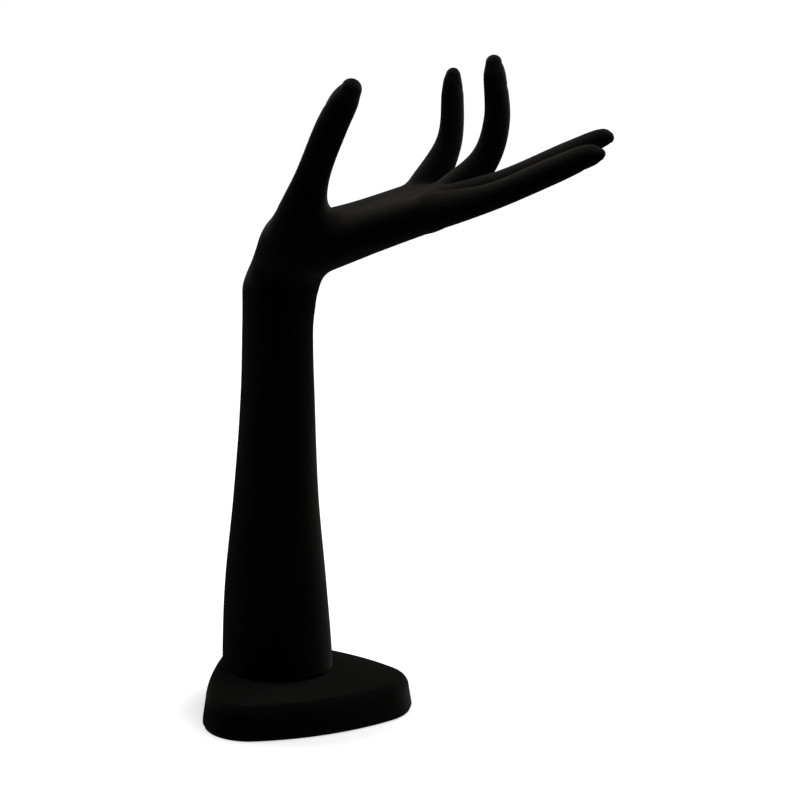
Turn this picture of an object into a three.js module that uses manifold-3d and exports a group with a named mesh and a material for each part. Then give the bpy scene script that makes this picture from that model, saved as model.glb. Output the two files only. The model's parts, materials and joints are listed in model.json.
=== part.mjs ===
// A flocked hand display for rings, bracelets and necklaces, in millimetres.
// An upright forearm turns at the wrist into an open hand, palm up, with the thumb, ring and little
// fingers standing and the index and middle fingers reaching out. It stands on a weighted plinth.
// The origin is on the table under the forearm's axis, +X runs along the plinth towards its tip,
// +Z is up, and the thumb is on the -Y side.
import * as THREE from "three";
import { mergeVertices } from "three/addons/utils/BufferGeometryUtils.js";
import Module from "manifold-3d";

const wasm = await Module();
wasm.setup();

// Clearances
const FIT_GAP = 0.3; // around every piece that sits in a hole or a recess
const END_GAP = 0.3; // past the end of a screw or barrel in a blind hole
const THROUGH = 1; // how far a cutter runs past the face that it opens

// Plinth outline, seen from above: three corner arcs joined by three flatter arcs
const PLINTH_REAR_REACH = 8.5; // from the forearm's axis back to the rear corners' centres
const PLINTH_TIP_REACH = 47.5; // and forward to the tip corner's centre
const PLINTH_HALF_SPREAD = 29; // from the plinth's centre line to each rear corner's centre
const PLINTH_OFFSET = 10.5; // of that line from the forearm's axis, to the thumb's side
const PLINTH_CORNER_RADIUS = 25.5;
const LONG_SIDE_RADIUS = 135;
const REAR_SIDE_RADIUS = 250;

// Plinth heights and walls
const FELT_THICKNESS = 1.5;
const FELT_INSET = 0.9;
const PLINTH_HEIGHT = 16.5; // of the moulded shell, which stands on the felt
const PLINTH_WALL = 3.2;
const DECK_THICKNESS = 4;
const TOP_EDGE_RADIUS = 6;
const FOOT_EDGE_RADIUS = 1;
const WALL_DRAFT = 1.5; // how far the wall leans in from foot to shoulder
const BOARD_THICKNESS = 2.5;
const BALLAST_THICKNESS = 6;
const BALLAST_MARGIN = 1.2; // from the shell's wall
const RECESS_INSET = PLINTH_WALL + WALL_DRAFT / 2; // of the shell's hollow, from the outline

// Fasteners
const CLAMP_BOLT_RADIUS = 3;
const CLAMP_HEAD_ACROSS = 10;
const CLAMP_HEAD_HEIGHT = 4;
const CLAMP_THREAD_PAST_NUT = 3;
const WASHER_RADIUS = 9;
const WASHER_THICKNESS = 1.6;
const TEE_NUT_FLANGE_RADIUS = 9;
const TEE_NUT_FLANGE_THICKNESS = 1.5;
const TEE_NUT_BARREL_RADIUS = 4.4;
const TEE_NUT_BARREL_LENGTH = 9;
const BOARD_SCREW_RADIUS = 1.7;
const BOARD_SCREW_HEAD_RADIUS = 3.4;
const BOARD_SCREW_HEAD_HEIGHT = 1.8;
const BOARD_SCREW_BITE = 4.5; // length inside the boss and deck
const BOSS_RADIUS = 4.6;
const BOSS_ROOT = 1; // how far the bosses run into the deck
const BOARD_SCREW_PAST_TIP = 8.5; // outward from the tip corner's centre
const BOARD_SCREW_PAST_REAR = 5.5; // back from each rear corner's centre
const BOARD_SCREW_PAST_SPREAD = 9; // and sideways from it
const DOWEL_RADIUS = 2.5;
const DOWEL_LENGTH = 18;
const DOWEL_REACH = 15; // from the forearm's axis to each dowel, along X
const BALLAST_BOLT_WINDOW = 13; // radius of the ballast's hole round the clamp bolt

// Forearm: level sections as [share of the length, centre x, half width along X, half width along Y]
const FOREARM_LENGTH = 205; // from the plinth to where the wrist starts to round over
const FOREARM_SECTIONS = [
  [0, 0.8, 29.4, 25.4],
  [0.22, 0.3, 27, 23.4],
  [0.46, 1, 22.4, 22.2],
  [0.71, 2.4, 19.4, 22.4],
  [0.9, 2.9, 18.3, 23.2],
  [1, 4.2, 19.2, 22.8],
];
const WRIST_CAP_HEIGHT = 18;
const ARM_WALL = 5;
const HOLLOW_SHORTFALL = 33; // of the hollow's roof below the forearm's top
const PLUG_HEIGHT = 24;

// Hand: its own frame starts at the wrist and runs along the palm, across it towards the little
// finger, and up off the palm
const WRIST_X = 5;
const WRIST_RISE = 14; // above the forearm's top
const PALM_PITCH = 22.5; // degrees above level
const PALM_YAW = -8; // degrees towards the thumb side

// Fingers and thumb: the joints' places [along, across, up] from the root out to the fingertip's pad
// and its rounded end, and the flesh radius at each
const FINGERS = {
  index: {
    joints: [[88.7, -24, 0.7], [120, -22.5, -3], [155.5, -21, -1.7], [174.2, -20, -1.1], [179, -20, -2.3]],
    radii: [9.7, 6.9, 6.6, 5.5, 3.1],
  },
  middle: {
    joints: [[92, -6, -0.3], [124.6, -3.5, -1.2], [160.3, -1.5, 0.5], [180, -0.5, 2.7], [182.5, -0.5, 1.7]],
    radii: [9.3, 7.1, 6.9, 4.4, 2.9],
  },
  ring: {
    joints: [
      [88.7, 10.5, -0.9],
      [116.5, 15, 11.9],
      [129.4, 16.3, 28.2],
      [136.8, 15.5, 49.1],
      [138.9, 15.5, 55.4],
    ],
    radii: [9.9, 7.5, 6.7, 5.7, 4.2],
  },
  little: {
    joints: [[73.3, 24, 2.1], [98.8, 30, 25.2], [109.1, 32, 46.8], [111.7, 32, 53], [113.3, 32, 56]],
    radii: [10.4, 6.7, 5.7, 4.7, 3.8],
  },
};
const THUMB = {
  joints: [[18, -14, 12], [40.6, -27, 37.4], [61.1, -32, 57.7], [71.9, -32, 67.1], [78.1, -32, 71.9]],
  radii: [14.6, 8.8, 8, 7.3, 5.4],
};
const METACARPAL_START = [7.5, 0, 4.2]; // where the palm's rays leave the wrist
const METACARPAL_START_SPREAD = 0.42; // of each knuckle's distance across
const METACARPAL_START_RADIUS = 12;
const PALM_HOLLOW_CENTRE = [50, 3]; // along and across
const PALM_HOLLOW_SPREAD = [24, 13];
const PALM_HOLLOW_DEPTH = 3.5;
const PALM_BLEND = 14;
const WRIST_BLEND = 12;
const THUMB_BLEND = 13;
const FINGER_BLEND = 2;
const CROTCH_BLEND = 1.5;

// Wires cast into the digits, each with the place [along, across, up] where it enters the palm
const WIRE_RADIUS = 1.25;
const WIRE_TIP_MARGIN = 5; // from the centre of the fingertip's pad
const WIRE_SPACING = 4.6; // between neighbours where they stand in the hollow forearm
const WIRE_STEM = 9; // of each wire, below the roof of the hollow
const WIRE_ENTRIES = {
  thumb: [2, -9, 4],
  index: [10, -7, 0],
  middle: [10, -2, 0],
  ring: [10, 4, 0],
  little: [10, 10, 1],
};

// Mesh of the arm's skin
const FINE_CELL = 3.9;
const COARSE_CELL = 9; // up the plain forearm
const FINE_OVERLAP = 20; // of the fine grid, below the forearm's top

// Flats that stand for round shapes
const WIRE_SIDES = 6;
const HOLE_SIDES = 16; // dowels and screws too
const ROUND_SIDES = 24;
const FOREARM_SIDES = 28;
const FOOT_EDGE_STEPS = 2;
const TOP_EDGE_STEPS = 5;

// Heights worked out from the sizes above
const RIM_Z = FELT_THICKNESS;
const DECK_TOP_Z = RIM_Z + PLINTH_HEIGHT;
const DECK_UNDER_Z = DECK_TOP_Z - DECK_THICKNESS;
const BOARD_TOP_Z = RIM_Z + BOARD_THICKNESS;
const BALLAST_TOP_Z = BOARD_TOP_Z + BALLAST_THICKNESS;
const PLUG_TOP_Z = DECK_TOP_Z + PLUG_HEIGHT;
const DOWEL_TOP_Z = DECK_UNDER_Z + DOWEL_LENGTH; // the dowels bottom in the plug
const FOREARM_TOP_Z = DECK_TOP_Z + FOREARM_LENGTH;
const HOLLOW_TOP_Z = FOREARM_TOP_Z - HOLLOW_SHORTFALL;

// Solids

// A closed geometry as a manifold-3d solid.
function solid(geometry) {
  const bare = geometry.index ? geometry.toNonIndexed() : geometry.clone();
  bare.deleteAttribute("normal");
  bare.deleteAttribute("uv");
  const merged = mergeVertices(bare, 1e-4);
  return new wasm.Manifold(
    new wasm.Mesh({
      numProp: 3,
      vertProperties: merged.attributes.position.array,
      triVerts: new Uint32Array(merged.index.array),
    }),
  );
}

// A solid back as a three.js geometry.
function geometryOf(made) {
  const mesh = made.getMesh();
  return new THREE.BufferGeometry()
    .setAttribute("position", new THREE.BufferAttribute(new Float32Array(mesh.vertProperties), 3))
    .setIndex(new THREE.BufferAttribute(new Uint32Array(mesh.triVerts), 1));
}

// A round upright bar from z0 to z1.
function bar(radius, z0, z1, x = 0, y = 0, sides = ROUND_SIDES) {
  const made = new THREE.CylinderGeometry(radius, radius, z1 - z0, sides);
  return made.rotateX(Math.PI / 2).translate(x, y, (z0 + z1) / 2);
}

// A solid with a round upright hole cut in it from z0 to z1, the same at each of some places.
function drilled(made, radius, z0, z1, places = [[0, 0]]) {
  return places.reduce((left, [x, y]) => left.subtract(solid(bar(radius, z0, z1, x, y, HOLE_SIDES))), made);
}

// Rings of points, lowest first, skinned into a closed solid with flat ends.
function loft(rings) {
  const sides = rings[0].length;
  const points = rings.flat();
  const low = points.length;
  const middle = (ring) => ring.reduce((sum, p) => sum.add(p), new THREE.Vector3()).divideScalar(sides);
  points.push(middle(rings[0]), middle(rings.at(-1)));
  const faces = [];
  for (let r = 0; r < rings.length - 1; r++)
    for (let i = 0; i < sides; i++) {
      const a = r * sides + i;
      const b = r * sides + ((i + 1) % sides);
      faces.push(a, b, b + sides, a, b + sides, a + sides);
    }
  for (let i = 0; i < sides; i++) {
    const next = (i + 1) % sides;
    const top = (rings.length - 1) * sides;
    faces.push(low, next, i, low + 1, top + i, top + next);
  }
  return new THREE.BufferGeometry().setFromPoints(points).setIndex(faces);
}

// Plinth outline

// The centre of the arc of a given radius that runs inside two corner arcs, tangent to both.
function sideArc(from, to, radius) {
  const a = radius - from.radius;
  const b = radius - to.radius;
  const across = to.centre.clone().sub(from.centre);
  const span = across.length();
  const along = (a * a - b * b + span * span) / (2 * span);
  const inward = new THREE.Vector2(-across.y, across.x).divideScalar(span);
  const centre = from.centre
    .clone()
    .addScaledVector(across, along / span)
    .addScaledVector(inward, Math.sqrt(a * a - along * along));
  return { centre, radius };
}

// The outline's arcs, anticlockwise, each with the angle of its outward normal at its start.
function plinthArcs() {
  const radius = PLINTH_CORNER_RADIUS;
  const corner = (x, y) => ({ centre: new THREE.Vector2(x, y - PLINTH_OFFSET), radius });
  const corners = [
    corner(PLINTH_TIP_REACH, 0),
    corner(-PLINTH_REAR_REACH, PLINTH_HALF_SPREAD),
    corner(-PLINTH_REAR_REACH, -PLINTH_HALF_SPREAD),
  ];
  const radii = [LONG_SIDE_RADIUS, REAR_SIDE_RADIUS, LONG_SIDE_RADIUS];
  const arcs = [];
  corners.forEach((from, i) => {
    const to = corners[(i + 1) % corners.length];
    const side = sideArc(from, to, radii[i]);
    const leaves = from.centre.clone().sub(side.centre).angle();
    const arrives = to.centre.clone().sub(side.centre).angle();
    arcs.push({ ...side, start: leaves }, { ...to, start: arrives });
  });
  return arcs;
}

const PLINTH_ARCS = plinthArcs();
const STEPS_ON_SIDE = 8;
const STEPS_ON_CORNER = 14;

// The outline moved in by a distance, at a height: corresponding points for every inset.
function plinthRing(inset, z) {
  const points = [];
  PLINTH_ARCS.forEach((arc, i) => {
    const steps = i % 2 ? STEPS_ON_CORNER : STEPS_ON_SIDE;
    const next = PLINTH_ARCS[(i + 1) % PLINTH_ARCS.length].start;
    const turn = THREE.MathUtils.euclideanModulo(next - arc.start, 2 * Math.PI);
    for (let s = 0; s < steps; s++) {
      const angle = arc.start + (turn * s) / steps;
      const reach = arc.radius - inset;
      const [x, y] = [reach * Math.cos(angle), reach * Math.sin(angle)];
      points.push(new THREE.Vector3(arc.centre.x + x, arc.centre.y + y, z));
    }
  });
  return points;
}

// A flat plate of the plinth's outline.
function plinthPlate(inset, z0, z1) {
  return loft([plinthRing(inset, z0), plinthRing(inset, z1)]);
}

// Rings that round an edge over from an upright wall to a level face.
function roundedEdge(inset, radius, z, steps, rises) {
  return Array.from({ length: steps + 1 }, (_, i) => {
    const angle = (Math.PI / 2) * (i / steps);
    const turn = rises ? angle : Math.PI / 2 - angle;
    const lift = radius * Math.sin(turn);
    return plinthRing(inset + radius * (1 - Math.cos(turn)), rises ? z + lift : z - lift);
  });
}

const rearScrewX = -PLINTH_REAR_REACH - BOARD_SCREW_PAST_REAR;
const rearScrewReach = PLINTH_HALF_SPREAD + BOARD_SCREW_PAST_SPREAD;
const boardScrewPlaces = [
  [PLINTH_TIP_REACH + BOARD_SCREW_PAST_TIP, -PLINTH_OFFSET],
  [rearScrewX, rearScrewReach - PLINTH_OFFSET],
  [rearScrewX, -rearScrewReach - PLINTH_OFFSET],
];
const dowelPlaces = [-1, 1].map((side) => [side * DOWEL_REACH, 0]);

// Plinth pieces

function plinthShell() {
  const outside = loft([
    ...roundedEdge(0, FOOT_EDGE_RADIUS, RIM_Z + FOOT_EDGE_RADIUS, FOOT_EDGE_STEPS, false),
    ...roundedEdge(WALL_DRAFT, TOP_EDGE_RADIUS, DECK_TOP_Z - TOP_EDGE_RADIUS, TOP_EDGE_STEPS, true),
  ]);
  let shell = solid(outside).subtract(solid(plinthPlate(RECESS_INSET, RIM_Z - THROUGH, DECK_UNDER_Z)));
  for (const [x, y] of boardScrewPlaces)
    shell = shell.add(solid(bar(BOSS_RADIUS, BALLAST_TOP_Z, DECK_UNDER_Z + BOSS_ROOT, x, y)));
  const pilotTop = BALLAST_TOP_Z + BOARD_SCREW_BITE + END_GAP;
  const [under, over] = [DECK_UNDER_Z - THROUGH, DECK_TOP_Z + THROUGH];
  shell = drilled(shell, BOARD_SCREW_RADIUS + FIT_GAP, BALLAST_TOP_Z - THROUGH, pilotTop, boardScrewPlaces);
  shell = drilled(shell, CLAMP_BOLT_RADIUS + FIT_GAP, under, over);
  shell = drilled(shell, DOWEL_RADIUS + FIT_GAP, under, over, dowelPlaces);
  return geometryOf(shell);
}

function ballastPlate() {
  let plate = solid(plinthPlate(RECESS_INSET + BALLAST_MARGIN, BOARD_TOP_Z, BALLAST_TOP_Z));
  const [under, over] = [BOARD_TOP_Z - THROUGH, BALLAST_TOP_Z + THROUGH];
  plate = drilled(plate, BALLAST_BOLT_WINDOW, under, over);
  return geometryOf(drilled(plate, BOARD_SCREW_RADIUS + FIT_GAP, under, over, boardScrewPlaces));
}

// The screw's countersunk shape from the board's underside up, as a lathe profile.
function screwProfile(gap) {
  const headTop = RIM_Z + BOARD_SCREW_HEAD_HEIGHT;
  const tip = BALLAST_TOP_Z + BOARD_SCREW_BITE;
  return [
    [0, RIM_Z - (gap ? THROUGH : 0)],
    [BOARD_SCREW_HEAD_RADIUS + gap, RIM_Z - (gap ? THROUGH : 0)],
    [BOARD_SCREW_HEAD_RADIUS + gap, RIM_Z],
    [BOARD_SCREW_RADIUS + gap, headTop + gap],
    [BOARD_SCREW_RADIUS + gap, tip - BOARD_SCREW_RADIUS],
    [0, tip],
  ];
}

// A profile of [radius, height] pairs, lowest first, turned round the upright axis.
function turned(profile) {
  const points = profile.map(([r, z]) => new THREE.Vector2(r, z));
  return new THREE.LatheGeometry(points, HOLE_SIDES).rotateX(Math.PI / 2);
}

function bottomBoard() {
  let board = solid(plinthPlate(RECESS_INSET + FIT_GAP, RIM_Z, BOARD_TOP_Z));
  for (const [x, y] of boardScrewPlaces)
    board = board.subtract(solid(turned(screwProfile(FIT_GAP)).translate(x, y, 0)));
  return geometryOf(board);
}

// Clamp that draws the forearm down on the plinth

function clampWasher() {
  const z0 = DECK_UNDER_Z - WASHER_THICKNESS;
  const ring = solid(bar(WASHER_RADIUS, z0, DECK_UNDER_Z));
  return geometryOf(drilled(ring, CLAMP_BOLT_RADIUS + FIT_GAP, z0 - THROUGH, DECK_UNDER_Z + THROUGH));
}

function clampBolt() {
  const headTop = DECK_UNDER_Z - WASHER_THICKNESS;
  const head = bar(CLAMP_HEAD_ACROSS / Math.sqrt(3), headTop - CLAMP_HEAD_HEIGHT, headTop, 0, 0, 6);
  const top = PLUG_TOP_Z + TEE_NUT_FLANGE_THICKNESS + CLAMP_THREAD_PAST_NUT;
  return geometryOf(solid(head).add(solid(bar(CLAMP_BOLT_RADIUS, headTop - THROUGH, top))));
}

function teeNut() {
  const foot = PLUG_TOP_Z - TEE_NUT_BARREL_LENGTH;
  const top = PLUG_TOP_Z + TEE_NUT_FLANGE_THICKNESS;
  const flange = solid(bar(TEE_NUT_FLANGE_RADIUS, PLUG_TOP_Z, top));
  const nut = flange.add(solid(bar(TEE_NUT_BARREL_RADIUS, foot, top)));
  return geometryOf(drilled(nut, CLAMP_BOLT_RADIUS + FIT_GAP, foot - THROUGH, top + THROUGH));
}

function locatingDowel([x, y]) {
  return bar(DOWEL_RADIUS, DECK_UNDER_Z, DOWEL_TOP_Z, x, y, HOLE_SIDES);
}

// Forearm

// A smooth value through pairs of [position, value], held level past both ends.
function eased(pairs, position) {
  const last = pairs.length - 1;
  const at = THREE.MathUtils.clamp(position, pairs[0][0], pairs[last][0]);
  let i = 1;
  while (i < last && pairs[i][0] < at) i++;
  const [p1, v1] = pairs[i - 1];
  const [p2, v2] = pairs[i];
  const v0 = pairs[Math.max(i - 2, 0)][1];
  const v3 = pairs[Math.min(i + 1, last)][1];
  const t = (at - p1) / (p2 - p1);
  const square = 2 * v0 - 5 * v1 + 4 * v2 - v3;
  const cube = 3 * (v1 - v2) + v3 - v0;
  return v1 + ((v2 - v0) * t + square * t * t + cube * t * t * t) / 2;
}

const [SECTION_X, SECTION_A, SECTION_B] = [1, 2, 3].map((k) => FOREARM_SECTIONS.map((s) => [s[0], s[k]]));

// The forearm's level ellipse at a height: its centre and half widths.
function forearmSection(z) {
  const share = (z - DECK_TOP_Z) / FOREARM_LENGTH;
  return { x: eased(SECTION_X, share), a: eased(SECTION_A, share), b: eased(SECTION_B, share) };
}

// The forearm's section moved in by a distance, as a ring.
function forearmRing(z, inset) {
  const { x, a, b } = forearmSection(z);
  return Array.from({ length: FOREARM_SIDES }, (_, i) => {
    const angle = (2 * Math.PI * i) / FOREARM_SIDES;
    return new THREE.Vector3(x + (a - inset) * Math.cos(angle), (b - inset) * Math.sin(angle), z);
  });
}

const HOLLOW_RINGS = 7;

function hollow() {
  const rings = Array.from({ length: HOLLOW_RINGS + 1 }, (_, i) =>
    forearmRing(THREE.MathUtils.lerp(DECK_TOP_Z, HOLLOW_TOP_Z, i / HOLLOW_RINGS), ARM_WALL),
  );
  rings.unshift(forearmRing(DECK_TOP_Z, ARM_WALL).map((p) => p.setZ(DECK_TOP_Z - THROUGH)));
  return loft(rings);
}

function armPlug() {
  const inset = ARM_WALL + FIT_GAP;
  let plug = solid(loft([forearmRing(DECK_TOP_Z, inset), forearmRing(PLUG_TOP_Z, inset)]));
  const [under, over] = [DECK_TOP_Z - THROUGH, PLUG_TOP_Z + THROUGH];
  plug = drilled(plug, CLAMP_BOLT_RADIUS + FIT_GAP, under, over);
  plug = drilled(plug, TEE_NUT_BARREL_RADIUS + FIT_GAP, PLUG_TOP_Z - TEE_NUT_BARREL_LENGTH - END_GAP, over);
  return geometryOf(drilled(plug, DOWEL_RADIUS + FIT_GAP, under, DOWEL_TOP_Z, dowelPlaces));
}

// Hand

const wristPoint = new THREE.Vector3(WRIST_X, 0, FOREARM_TOP_Z + WRIST_RISE);
const handFrame = new THREE.Matrix4()
  .makeRotationZ(THREE.MathUtils.degToRad(PALM_YAW))
  .multiply(new THREE.Matrix4().makeRotationY(-THREE.MathUtils.degToRad(PALM_PITCH)))
  .premultiply(new THREE.Matrix4().makeTranslation(wristPoint));

// A point of the hand's own frame in the part's frame.
function inHand(along, across, up) {
  return new THREE.Vector3(along, across, up).applyMatrix4(handFrame);
}

// A digit's flesh as a chain of [point, radius] stations along a smooth line through its joints.
const STATIONS_PER_BONE = 4;

function stations({ joints, radii }) {
  const line = new THREE.CatmullRomCurve3(joints.map((place) => inHand(...place)));
  const bones = joints.length - 1;
  const radiusPairs = radii.map((r, i) => [i, r]);
  return Array.from({ length: STATIONS_PER_BONE * bones + 1 }, (_, i) => {
    const t = i / (STATIONS_PER_BONE * bones);
    return { point: line.getPoint(t), radius: eased(radiusPairs, t * bones) };
  });
}

function metacarpal({ joints, radii }) {
  const [along, across, up] = METACARPAL_START;
  const knuckle = joints[0];
  const start = inHand(along, across + knuckle[1] * METACARPAL_START_SPREAD, up);
  return [
    { point: start, radius: METACARPAL_START_RADIUS },
    { point: inHand(...knuckle), radius: radii[0] },
  ];
}

// Signed distance from a point to a chain of round cones.
function chainDistance(chain, x, y, z) {
  let nearest = Infinity;
  for (let i = 0; i < chain.length - 1; i++) {
    const a = chain[i];
    const b = chain[i + 1];
    const bx = b.point.x - a.point.x;
    const by = b.point.y - a.point.y;
    const bz = b.point.z - a.point.z;
    const px = x - a.point.x;
    const py = y - a.point.y;
    const pz = z - a.point.z;
    const length2 = bx * bx + by * by + bz * bz;
    const t = Math.min(Math.max((px * bx + py * by + pz * bz) / length2, 0), 1);
    const gap = Math.hypot(px - t * bx, py - t * by, pz - t * bz);
    nearest = Math.min(nearest, gap - a.radius - t * (b.radius - a.radius));
  }
  return nearest;
}

const FOOT_TRIM = 1.5 * COARSE_CELL; // grown below the deck, then cut off flat

// Signed distance, near enough, to the forearm with its domed top.
function forearmDistance(x, y, z) {
  const section = forearmSection(z);
  const dx = x - section.x;
  const dz = Math.max(z - FOREARM_TOP_Z, 0);
  const share = Math.hypot(dx / section.a, y / section.b, dz / WRIST_CAP_HEIGHT);
  const sides = share < 1e-6 ? -section.b : Math.hypot(dx, y, dz) * (1 - 1 / share);
  return Math.max(sides, DECK_TOP_Z - FOOT_TRIM - z);
}

// The lesser of two distances, rounded over where they are closer than the blend.
function blended(a, b, blend) {
  const h = Math.max(blend - Math.abs(a - b), 0) / blend;
  return Math.min(a, b) - (h * h * blend) / 4;
}

const toHand = handFrame.clone().invert();

// How far the palm's upper side is pressed in at a point.
function palmHollow(x, y, z) {
  const p = new THREE.Vector3(x, y, z).applyMatrix4(toHand);
  const along = (p.x - PALM_HOLLOW_CENTRE[0]) / PALM_HOLLOW_SPREAD[0];
  const across = (p.y - PALM_HOLLOW_CENTRE[1]) / PALM_HOLLOW_SPREAD[1];
  const upper = THREE.MathUtils.clamp(p.z / METACARPAL_START_RADIUS, 0, 1);
  return PALM_HOLLOW_DEPTH * upper * Math.exp(-along * along - across * across);
}

const fingerNames = Object.keys(FINGERS);
const fingerChains = fingerNames.map((name) => stations(FINGERS[name]));
const palmChains = fingerNames.map((name) => metacarpal(FINGERS[name]));
const thumbChain = stations(THUMB);

// Signed distance to the whole arm: forearm, palm, thumb and fingers grown into each other.
function armDistance(x, y, z) {
  let palm = Infinity;
  for (const chain of palmChains) palm = blended(palm, chainDistance(chain, x, y, z), PALM_BLEND);
  let body = blended(forearmDistance(x, y, z), palm, WRIST_BLEND);
  body = blended(body, chainDistance(thumbChain, x, y, z), THUMB_BLEND) + palmHollow(x, y, z);
  let fingers = Infinity;
  for (const chain of fingerChains)
    fingers = blended(fingers, chainDistance(chain, x, y, z), CROTCH_BLEND);
  return blended(body, fingers, FINGER_BLEND);
}

// Skin

// Grid lines from low to high, coarse below a level and fine above it.
function gridLines(low, high, fineFrom = -Infinity) {
  const lines = [low];
  while (lines.at(-1) < high) {
    const cell = lines.at(-1) < fineFrom ? COARSE_CELL : FINE_CELL;
    lines.push(lines.at(-1) + cell);
  }
  return lines;
}

const SETTLE_STEPS = 3;
const SLOPE_STEP = 0.5; // each way, to measure the distance's slope
const LEAST_STEEPNESS = 0.25; // keeps a step short where the distance is nearly flat

// A point drawn on to where a distance is zero, staying near where it started.
function settled(distance, start) {
  const p = [...start];
  for (let n = 0; n < SETTLE_STEPS; n++) {
    const slope = [0, 1, 2].map((axis) => {
      const [a, b] = [[...p], [...p]];
      a[axis] -= SLOPE_STEP;
      b[axis] += SLOPE_STEP;
      return (distance(...b) - distance(...a)) / (2 * SLOPE_STEP);
    });
    const steepness = slope.reduce((sum, v) => sum + v * v, 0);
    const step = distance(...p) / Math.max(steepness, LEAST_STEEPNESS);
    for (let axis = 0; axis < 3; axis++) {
      const moved = p[axis] - step * slope[axis];
      p[axis] = THREE.MathUtils.clamp(moved, start[axis] - FINE_CELL / 2, start[axis] + FINE_CELL / 2);
    }
  }
  return p;
}

const GRID_STEPS = [
  [1, 0, 0],
  [0, 1, 0],
  [0, 0, 1],
];
const JUST_INSIDE = -0.05;

// Where two sheets of the surface would meet along a grid face, its nearer outside corner is filled,
// so that they join.
function fillCrossings(values, at, nx, ny, nz) {
  let filled = true;
  while (filled) {
    filled = false;
    for (let k = 0; k < nz - 1; k++)
      for (let j = 0; j < ny - 1; j++)
        for (let i = 0; i < nx - 1; i++)
          for (let axis = 0; axis < 3; axis++) {
            const u = GRID_STEPS[(axis + 1) % 3];
            const v = GRID_STEPS[(axis + 2) % 3];
            const near = at(i, j, k);
            const right = at(i + u[0], j + u[1], k + u[2]);
            const left = at(i + v[0], j + v[1], k + v[2]);
            const far = at(i + u[0] + v[0], j + u[1] + v[1], k + u[2] + v[2]);
            const inside = values[near] < 0;
            if (values[far] < 0 !== inside) continue;
            if (values[right] < 0 === inside || values[left] < 0 === inside) continue;
            const [a, b] = inside ? [right, left] : [near, far];
            values[values[a] < values[b] ? a : b] = JUST_INSIDE;
            filled = true;
          }
  }
}

// A closed skin round where a distance is below zero: one vertex in each grid cell that the surface
// crosses, drawn on to it from the mean of the cell's crossings, and one quad across each grid edge
// that it cuts.
function skin(distance, xs, ys, zs) {
  const [nx, ny, nz] = [xs.length, ys.length, zs.length];
  const at = (i, j, k) => (k * ny + j) * nx + i;
  const values = new Float32Array(nx * ny * nz);
  for (let k = 0; k < nz; k++)
    for (let j = 0; j < ny; j++)
      for (let i = 0; i < nx; i++) values[at(i, j, k)] = distance(xs[i], ys[j], zs[k]);

  fillCrossings(values, at, nx, ny, nz);

  const place = (c) => [xs[c[0]], ys[c[1]], zs[c[2]]];
  const vertexOf = new Int32Array(nx * ny * nz).fill(-1);
  const positions = [];
  const faces = [];
  for (let k = 0; k < nz - 1; k++)
    for (let j = 0; j < ny - 1; j++)
      for (let i = 0; i < nx - 1; i++) {
        const sum = [0, 0, 0];
        let crossings = 0;
        for (let axis = 0; axis < 3; axis++)
          for (let corner = 0; corner < 4; corner++) {
            const from = [i, j, k];
            from[(axis + 1) % 3] += corner & 1;
            from[(axis + 2) % 3] += corner >> 1;
            const to = from.map((v, n) => v + GRID_STEPS[axis][n]);
            const a = values[at(...from)];
            const b = values[at(...to)];
            if (a < 0 === b < 0) continue;
            const t = a / (a - b);
            const [p, q] = [place(from), place(to)];
            for (let n = 0; n < 3; n++) sum[n] += p[n] + t * (q[n] - p[n]);
            crossings++;
          }
        if (!crossings) continue;
        vertexOf[at(i, j, k)] = positions.length / 3;
        positions.push(...settled(distance, sum.map((v) => v / crossings)));
      }
  for (let k = 1; k < nz - 1; k++)
    for (let j = 1; j < ny - 1; j++)
      for (let i = 1; i < nx - 1; i++)
        for (let axis = 0; axis < 3; axis++) {
          const [dx, dy, dz] = GRID_STEPS[axis];
          const inside = values[at(i, j, k)] < 0;
          if (inside === values[at(i + dx, j + dy, k + dz)] < 0) continue;
          const u = GRID_STEPS[(axis + 1) % 3];
          const v = GRID_STEPS[(axis + 2) % 3];
          const cell = (a, b) =>
            vertexOf[at(i - a * u[0] - b * v[0], j - a * u[1] - b * v[1], k - a * u[2] - b * v[2])];
          const quad = [cell(1, 1), cell(0, 1), cell(0, 0), cell(1, 0)];
          if (!inside) quad.reverse();
          faces.push(quad[0], quad[1], quad[2], quad[0], quad[2], quad[3]);
        }
  return new THREE.BufferGeometry()
    .setAttribute("position", new THREE.Float32BufferAttribute(positions, 3))
    .setIndex(faces);
}

const SKIN_MARGIN = 6; // of empty grid round the arm

function armSkin() {
  const box = new THREE.Box3();
  for (const chain of [...fingerChains, ...palmChains, thumbChain])
    for (const { point, radius } of chain)
      box.union(new THREE.Box3(point.clone().subScalar(radius), point.clone().addScalar(radius)));
  for (const p of [...forearmRing(DECK_TOP_Z, 0), ...forearmRing(FOREARM_TOP_Z, 0)]) box.expandByPoint(p);
  box.min.z = DECK_TOP_Z - FOOT_TRIM - COARSE_CELL;
  box.expandByScalar(SKIN_MARGIN);
  return skin(
    armDistance,
    gridLines(box.min.x, box.max.x),
    gridLines(box.min.y, box.max.y),
    gridLines(box.min.z, box.max.z, FOREARM_TOP_Z - FINE_OVERLAP),
  );
}

// Wires

const MIDDLE_WIRE = 2; // its place in the row of wires, counted from the thumb's

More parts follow.
